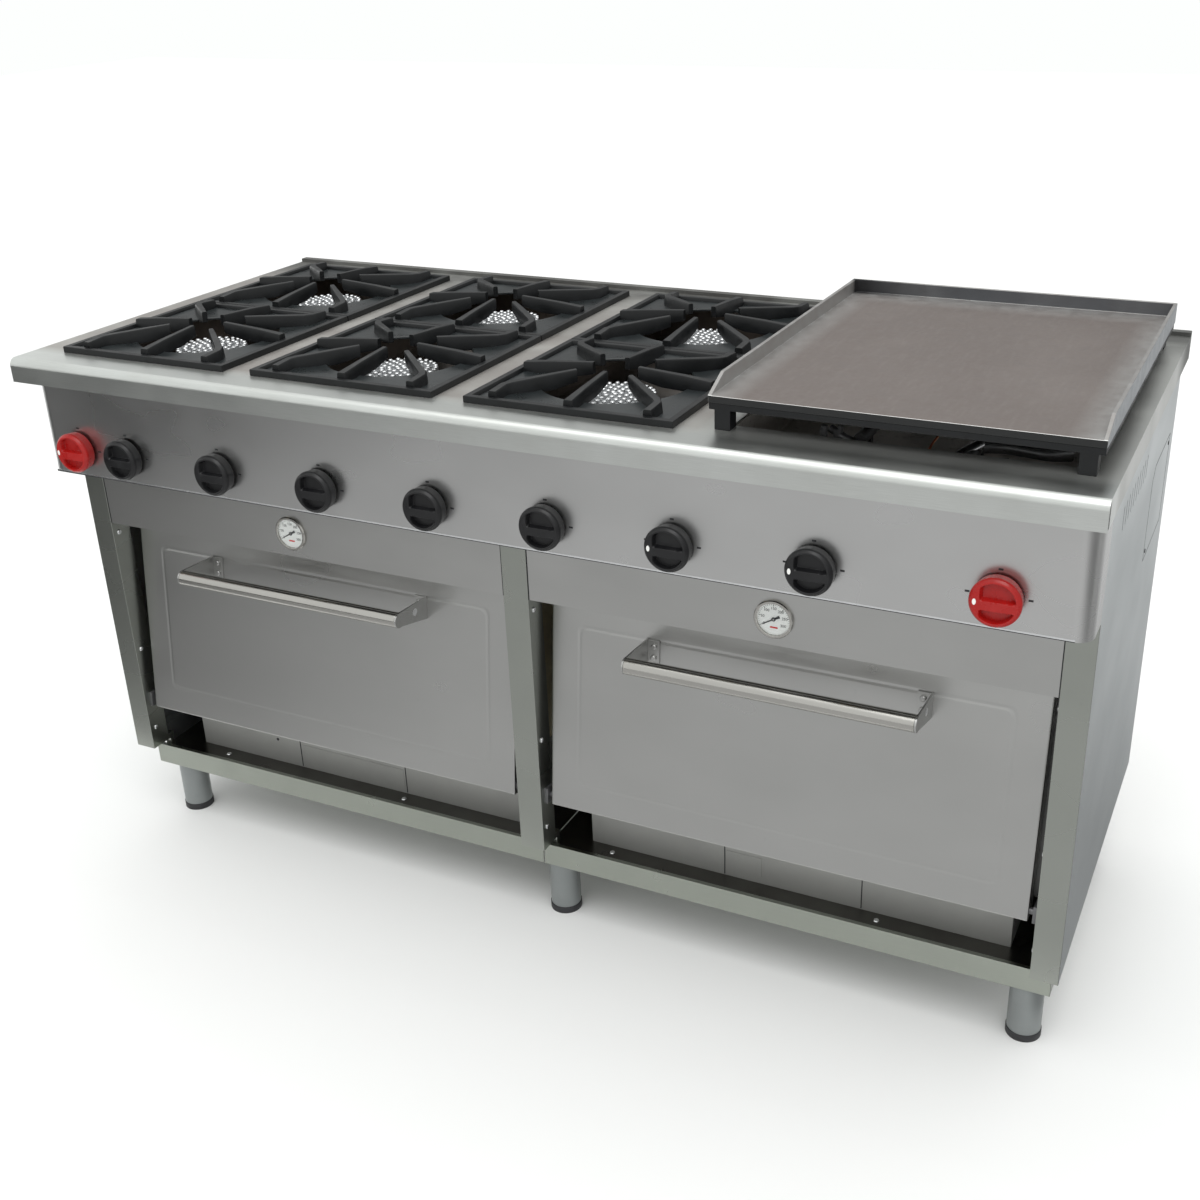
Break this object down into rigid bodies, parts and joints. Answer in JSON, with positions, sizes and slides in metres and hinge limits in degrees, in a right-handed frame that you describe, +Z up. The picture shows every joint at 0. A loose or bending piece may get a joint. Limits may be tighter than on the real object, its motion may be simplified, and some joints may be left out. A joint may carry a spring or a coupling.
{
  "type": "commercial gas range",
  "caption": "Free-standing stainless restaurant gas range with open burners, a lift-off griddle and two ovens with bottom-hinged, gravity-closed doors.",
  "frame": {"origin": "centre of the footprint at floor level, midway between the rim's front and back edges", "axes": "+X along the front from left to right as seen by the cook, -Y out of the front towards the cook, +Z up"},
  "size_m": [1.7, 0.77, 0.991],
  "materials": {
    "steel_sheet": "brushed satin",
    "countertop_steel": "satin with a bright rolled edge",
    "side_steel": "dull satin",
    "liner_steel": "mill finish",
    "leg_steel": "light grey",
    "foot_rubber": "matte",
    "insulation": "mineral fibre blanket",
    "bright_metal": "polished",
    "handle_steel": "brushed along the bar",
    "spill_tray_steel": "heat-tinted",
    "cast_iron": "matte black enamel",
    "burner_alloy": "as cast",
    "plain_steel": "dark",
    "brass": "satin",
    "gauge_glass": "clear",
    "red_plastic": "glossy red",
    "black_plastic": "semi-gloss black",
    "needle_paint": "black",
    "griddle_steel": "oiled brown-grey",
    "black_iron": "black"
  },
  "bodies": {
    "frame": {"countertop": "countertop_steel", "control_panel": "steel_sheet", "left_side_panel": "side_steel", "right_side_panel": "side_steel", "back_panel": "liner_steel", "left_post": "steel_sheet", "centre_post": "steel_sheet", "right_post": "steel_sheet", "left_fascia": "steel_sheet", "right_fascia": "steel_sheet", "left_base_tray": "steel_sheet", "right_base_tray": "steel_sheet", "legs": "leg_steel", "foot_caps": "foot_rubber", "left_oven_liner": "liner_steel", "right_oven_liner": "liner_steel", "oven_insulation": "insulation", "oven_racks": "bright_metal", "oven_sole_plates": "liner_steel", "oven_burners": "plain_steel", "oven_bases": "steel_sheet", "spill_trays": "spill_tray_steel", "burner_bodies": "cast_iron", "burner_heads": "burner_alloy", "griddle_burner": "plain_steel", "gas_manifold": "plain_steel", "gas_valves": "brass", "gas_pipes": "brass", "gas_inlet": "plain_steel", "thermometer_cases": "bright_metal", "thermometer_glasses": "gauge_glass", "hinge_brackets": "plain_steel", "screws": "bright_metal"},
    "left_door": {"left_door_skin": "steel_sheet", "left_door_liner": "liner_steel", "left_handle": "handle_steel", "left_hinge_pins": "plain_steel"},
    "right_door": {"right_door_skin": "steel_sheet", "right_door_liner": "liner_steel", "right_handle": "handle_steel", "right_hinge_pins": "plain_steel"},
    "burner_knob_1": {"burner_knob_1": "black_plastic"},
    "burner_knob_2": {"burner_knob_2": "black_plastic"},
    "burner_knob_3": {"burner_knob_3": "black_plastic"},
    "burner_knob_4": {"burner_knob_4": "black_plastic"},
    "burner_knob_5": {"burner_knob_5": "black_plastic"},
    "burner_knob_6": {"burner_knob_6": "black_plastic"},
    "griddle_knob": {"griddle_knob": "black_plastic"},
    "left_oven_knob": {"left_oven_knob": "red_plastic"},
    "right_oven_knob": {"right_oven_knob": "red_plastic"},
    "left_needle": {"left_needle": "needle_paint"},
    "right_needle": {"right_needle": "needle_paint"},
    "grate_1_front": {"grate_1_front": "cast_iron"},
    "grate_1_rear": {"grate_1_rear": "cast_iron"},
    "grate_2_front": {"grate_2_front": "cast_iron"},
    "grate_2_rear": {"grate_2_rear": "cast_iron"},
    "grate_3_front": {"grate_3_front": "cast_iron"},
    "grate_3_rear": {"grate_3_rear": "cast_iron"},
    "griddle": {"griddle_plate": "griddle_steel", "griddle_stand": "black_iron"}
  },
  "joints": [
    {"name": "left_door_hinge", "type": "hinge", "parent": "frame", "child": "left_door", "pos_m": [-0.4125, -0.2617, 0.25754], "axis": [1, 0, 0], "range_deg": [0, 96.6]},
    {"name": "right_door_hinge", "type": "hinge", "parent": "frame", "child": "right_door", "pos_m": [0.4125, -0.2617, 0.25754], "axis": [1, 0, 0], "range_deg": [0, 96.6]},
    {"name": "burner_knob_1_turn", "type": "hinge", "parent": "frame", "child": "burner_knob_1", "pos_m": [-0.6675, -0.35, 0.771], "axis": [0, 1, 0], "range_deg": [0, 180]},
    {"name": "burner_knob_2_turn", "type": "hinge", "parent": "frame", "child": "burner_knob_2", "pos_m": [-0.4815, -0.35, 0.771], "axis": [0, 1, 0], "range_deg": [0, 180]},
    {"name": "burner_knob_3_turn", "type": "hinge", "parent": "frame", "child": "burner_knob_3", "pos_m": [-0.289, -0.35, 0.771], "axis": [0, 1, 0], "range_deg": [0, 180]},
    {"name": "burner_knob_4_turn", "type": "hinge", "parent": "frame", "child": "burner_knob_4", "pos_m": [-0.096, -0.35, 0.771], "axis": [0, 1, 0], "range_deg": [0, 180]},
    {"name": "burner_knob_5_turn", "type": "hinge", "parent": "frame", "child": "burner_knob_5", "pos_m": [0.097, -0.35, 0.771], "axis": [0, 1, 0], "range_deg": [0, 180]},
    {"name": "burner_knob_6_turn", "type": "hinge", "parent": "frame", "child": "burner_knob_6", "pos_m": [0.29, -0.35, 0.771], "axis": [0, 1, 0], "range_deg": [0, 180]},
    {"name": "griddle_knob_turn", "type": "hinge", "parent": "frame", "child": "griddle_knob", "pos_m": [0.4895, -0.35, 0.771], "axis": [0, 1, 0], "range_deg": [0, 180]},
    {"name": "left_oven_knob_turn", "type": "hinge", "parent": "frame", "child": "left_oven_knob", "pos_m": [-0.768, -0.35, 0.771], "axis": [0, 1, 0], "range_deg": [0, 180]},
    {"name": "right_oven_knob_turn", "type": "hinge", "parent": "frame", "child": "right_oven_knob", "pos_m": [0.728, -0.35, 0.771], "axis": [0, 1, 0], "range_deg": [0, 180]},
    {"name": "left_needle_turn", "type": "hinge", "parent": "frame", "child": "left_needle", "pos_m": [-0.4125, -0.287, 0.653], "axis": [0, 1, 0], "range_deg": [0, 230]},
    {"name": "right_needle_turn", "type": "hinge", "parent": "frame", "child": "right_needle", "pos_m": [0.4125, -0.287, 0.653], "axis": [0, 1, 0], "range_deg": [0, 230]},
    {"name": "grate_1_front_lift", "type": "slide", "parent": "frame", "child": "grate_1_front", "axis": [0, 0, 1], "range_m": [0, 0.2]},
    {"name": "grate_1_rear_lift", "type": "slide", "parent": "frame", "child": "grate_1_rear", "axis": [0, 0, 1], "range_m": [0, 0.2]},
    {"name": "grate_2_front_lift", "type": "slide", "parent": "frame", "child": "grate_2_front", "axis": [0, 0, 1], "range_m": [0, 0.2]},
    {"name": "grate_2_rear_lift", "type": "slide", "parent": "frame", "child": "grate_2_rear", "axis": [0, 0, 1], "range_m": [0, 0.2]},
    {"name": "grate_3_front_lift", "type": "slide", "parent": "frame", "child": "grate_3_front", "axis": [0, 0, 1], "range_m": [0, 0.2]},
    {"name": "grate_3_rear_lift", "type": "slide", "parent": "frame", "child": "grate_3_rear", "axis": [0, 0, 1], "range_m": [0, 0.2]},
    {"name": "griddle_lift", "type": "slide", "parent": "frame", "child": "griddle", "axis": [0, 0, 1], "range_m": [0, 0.25]}
  ]
}
